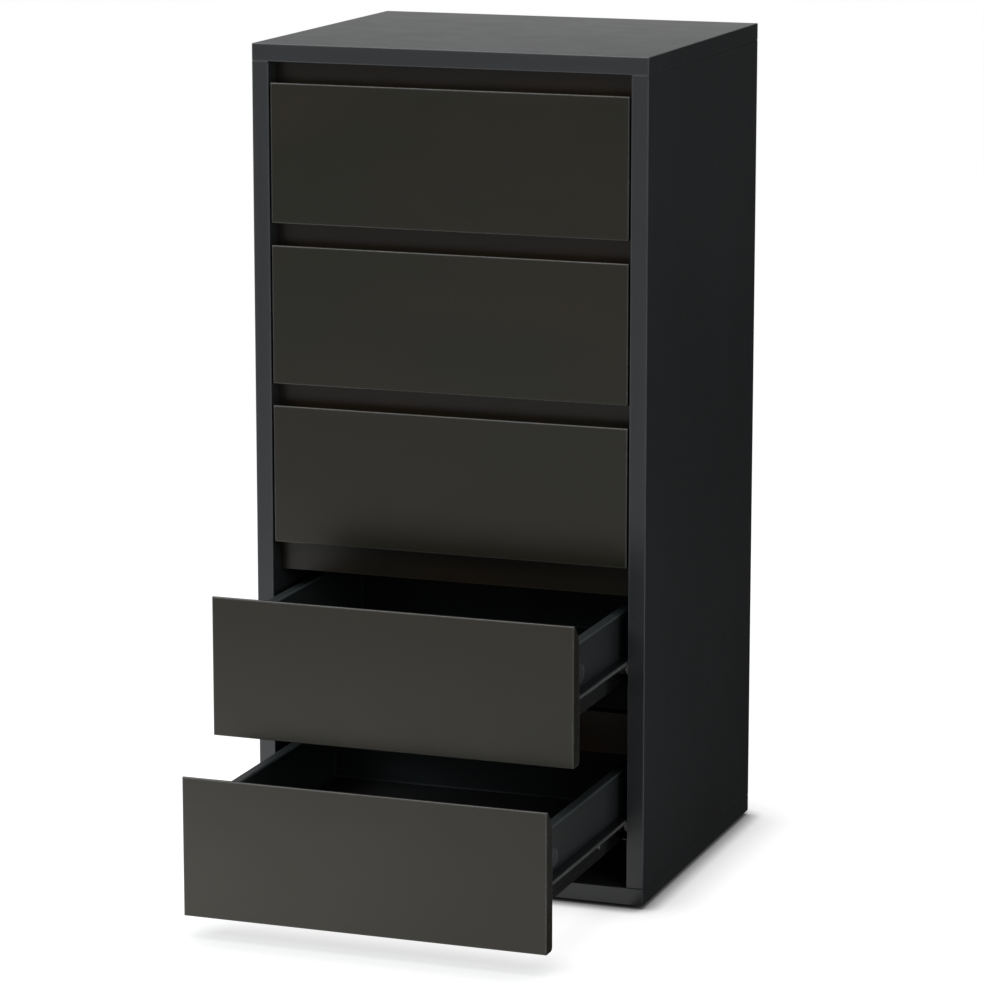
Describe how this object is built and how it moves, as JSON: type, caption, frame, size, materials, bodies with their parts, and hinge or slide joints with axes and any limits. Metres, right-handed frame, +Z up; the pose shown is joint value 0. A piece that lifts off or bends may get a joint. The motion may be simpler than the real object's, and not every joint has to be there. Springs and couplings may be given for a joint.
{
  "type": "drawer cabinet",
  "caption": "Tall dark laminate cabinet with inset handle-less drawers on roller runners, deep enough for 12 inch scrapbook paper.",
  "frame": {"origin": "centre of the bottom board's underside, on the cabinet's middle plane", "axes": "+Z up, -Y out of the drawer fronts, +X to the right seen from the front"},
  "size_m": [0.425, 0.626, 0.876],
  "materials": {
    "carcass_laminate": "satin black-brown laminate on particle board",
    "front_laminate": "satin black-brown laminate on particle board",
    "drawer_foil": "smooth dark grey foil on fibreboard",
    "hardboard": "painted hardboard",
    "runner_steel": "glossy black epoxy-coated steel",
    "roller_nylon": "moulded white nylon",
    "glide_plastic": "moulded black polypropylene",
    "dowel_wood": "plain beech",
    "fitting_zinc": "zinc alloy",
    "screw_steel": "zinc-plated steel"
  },
  "bodies": {
    "cabinet": {"top_board": "carcass_laminate", "bottom_board": "carcass_laminate", "side_panel_left": "carcass_laminate", "side_panel_right": "carcass_laminate", "back_panel": "hardboard", "floor_glides": "glide_plastic", "carcass_dowels": "dowel_wood", "carcass_cam_locks": "fitting_zinc", "runner_screws": "screw_steel", "front_rail_1": "carcass_laminate", "cabinet_runners_1": "runner_steel", "front_rail_2": "carcass_laminate", "cabinet_runners_2": "runner_steel", "front_rail_3": "carcass_laminate", "cabinet_runners_3": "runner_steel", "front_rail_4": "carcass_laminate", "cabinet_runners_4": "runner_steel", "front_rail_5": "carcass_laminate", "cabinet_runners_5": "runner_steel"},
    "drawer_1": {"drawer_1_front": "front_laminate", "drawer_1_side_left": "drawer_foil", "drawer_1_side_right": "drawer_foil", "drawer_1_back": "drawer_foil", "drawer_1_bottom": "hardboard", "drawer_1_runners": "runner_steel"},
    "drawer_1_rollers": {"drawer_1_rollers": "roller_nylon"},
    "cabinet_rollers_1": {"cabinet_rollers_1": "roller_nylon"},
    "drawer_2": {"drawer_2_front": "front_laminate", "drawer_2_side_left": "drawer_foil", "drawer_2_side_right": "drawer_foil", "drawer_2_back": "drawer_foil", "drawer_2_bottom": "hardboard", "drawer_2_runners": "runner_steel"},
    "drawer_2_rollers": {"drawer_2_rollers": "roller_nylon"},
    "cabinet_rollers_2": {"cabinet_rollers_2": "roller_nylon"},
    "drawer_3": {"drawer_3_front": "front_laminate", "drawer_3_side_left": "drawer_foil", "drawer_3_side_right": "drawer_foil", "drawer_3_back": "drawer_foil", "drawer_3_bottom": "hardboard", "drawer_3_runners": "runner_steel"},
    "drawer_3_rollers": {"drawer_3_rollers": "roller_nylon"},
    "cabinet_rollers_3": {"cabinet_rollers_3": "roller_nylon"},
    "drawer_4": {"drawer_4_front": "front_laminate", "drawer_4_side_left": "drawer_foil", "drawer_4_side_right": "drawer_foil", "drawer_4_back": "drawer_foil", "drawer_4_bottom": "hardboard", "drawer_4_runners": "runner_steel"},
    "drawer_4_rollers": {"drawer_4_rollers": "roller_nylon"},
    "cabinet_rollers_4": {"cabinet_rollers_4": "roller_nylon"},
    "drawer_5": {"drawer_5_front": "front_laminate", "drawer_5_side_left": "drawer_foil", "drawer_5_side_right": "drawer_foil", "drawer_5_back": "drawer_foil", "drawer_5_bottom": "hardboard", "drawer_5_runners": "runner_steel"},
    "drawer_5_rollers": {"drawer_5_rollers": "roller_nylon"},
    "cabinet_rollers_5": {"cabinet_rollers_5": "roller_nylon"}
  },
  "joints": [
    {"name": "drawer_1_slide", "type": "slide", "parent": "cabinet", "child": "drawer_1", "axis": [0, -1, 0], "range_m": [0, 0.262]},
    {"name": "drawer_1_rollers_spin", "type": "hinge", "parent": "drawer_1", "child": "drawer_1_rollers", "pos_m": [0, 0.1595, 0.7427], "axis": [1, 0, 0], "continuous": true},
    {"name": "cabinet_rollers_1_spin", "type": "hinge", "parent": "cabinet", "child": "cabinet_rollers_1", "pos_m": [0, -0.1585, 0.7473], "axis": [1, 0, 0], "continuous": true},
    {"name": "drawer_2_slide", "type": "slide", "parent": "cabinet", "child": "drawer_2", "axis": [0, -1, 0], "range_m": [0, 0.262]},
    {"name": "drawer_2_rollers_spin", "type": "hinge", "parent": "drawer_2", "child": "drawer_2_rollers", "pos_m": [0, 0.1595, 0.5755], "axis": [1, 0, 0], "continuous": true},
    {"name": "cabinet_rollers_2_spin", "type": "hinge", "parent": "cabinet", "child": "cabinet_rollers_2", "pos_m": [0, -0.1585, 0.5801], "axis": [1, 0, 0], "continuous": true},
    {"name": "drawer_3_slide", "type": "slide", "parent": "cabinet", "child": "drawer_3", "axis": [0, -1, 0], "range_m": [0, 0.262]},
    {"name": "drawer_3_rollers_spin", "type": "hinge", "parent": "drawer_3", "child": "drawer_3_rollers", "pos_m": [0, 0.1595, 0.4083], "axis": [1, 0, 0], "continuous": true},
    {"name": "cabinet_rollers_3_spin", "type": "hinge", "parent": "cabinet", "child": "cabinet_rollers_3", "pos_m": [0, -0.1585, 0.4129], "axis": [1, 0, 0], "continuous": true},
    {"name": "drawer_4_slide", "type": "slide", "parent": "cabinet", "child": "drawer_4", "axis": [0, -1, 0], "range_m": [-0.165, 0.097]},
    {"name": "drawer_4_rollers_spin", "type": "hinge", "parent": "drawer_4", "child": "drawer_4_rollers", "pos_m": [0, -0.0055, 0.2411], "axis": [1, 0, 0], "continuous": true},
    {"name": "cabinet_rollers_4_spin", "type": "hinge", "parent": "cabinet", "child": "cabinet_rollers_4", "pos_m": [0, -0.1585, 0.2457], "axis": [1, 0, 0], "continuous": true},
    {"name": "drawer_5_slide", "type": "slide", "parent": "cabinet", "child": "drawer_5", "axis": [0, -1, 0], "range_m": [-0.245, 0.017]},
    {"name": "drawer_5_rollers_spin", "type": "hinge", "parent": "drawer_5", "child": "drawer_5_rollers", "pos_m": [0, -0.0855, 0.0739], "axis": [1, 0, 0], "continuous": true},
    {"name": "cabinet_rollers_5_spin", "type": "hinge", "parent": "cabinet", "child": "cabinet_rollers_5", "pos_m": [0, -0.1585, 0.0785], "axis": [1, 0, 0], "continuous": true}
  ],
  "couplings": [
    {"joint": "drawer_1_rollers_spin", "follows": "drawer_1_slide", "rad_per_m": 100},
    {"joint": "cabinet_rollers_1_spin", "follows": "drawer_1_slide", "rad_per_m": 100},
    {"joint": "drawer_2_rollers_spin", "follows": "drawer_2_slide", "rad_per_m": 100},
    {"joint": "cabinet_rollers_2_spin", "follows": "drawer_2_slide", "rad_per_m": 100},
    {"joint": "drawer_3_rollers_spin", "follows": "drawer_3_slide", "rad_per_m": 100},
    {"joint": "cabinet_rollers_3_spin", "follows": "drawer_3_slide", "rad_per_m": 100},
    {"joint": "drawer_4_rollers_spin", "follows": "drawer_4_slide", "rad_per_m": 100},
    {"joint": "cabinet_rollers_4_spin", "follows": "drawer_4_slide", "rad_per_m": 100},
    {"joint": "drawer_5_rollers_spin", "follows": "drawer_5_slide", "rad_per_m": 100},
    {"joint": "cabinet_rollers_5_spin", "follows": "drawer_5_slide", "rad_per_m": 100}
  ]
}
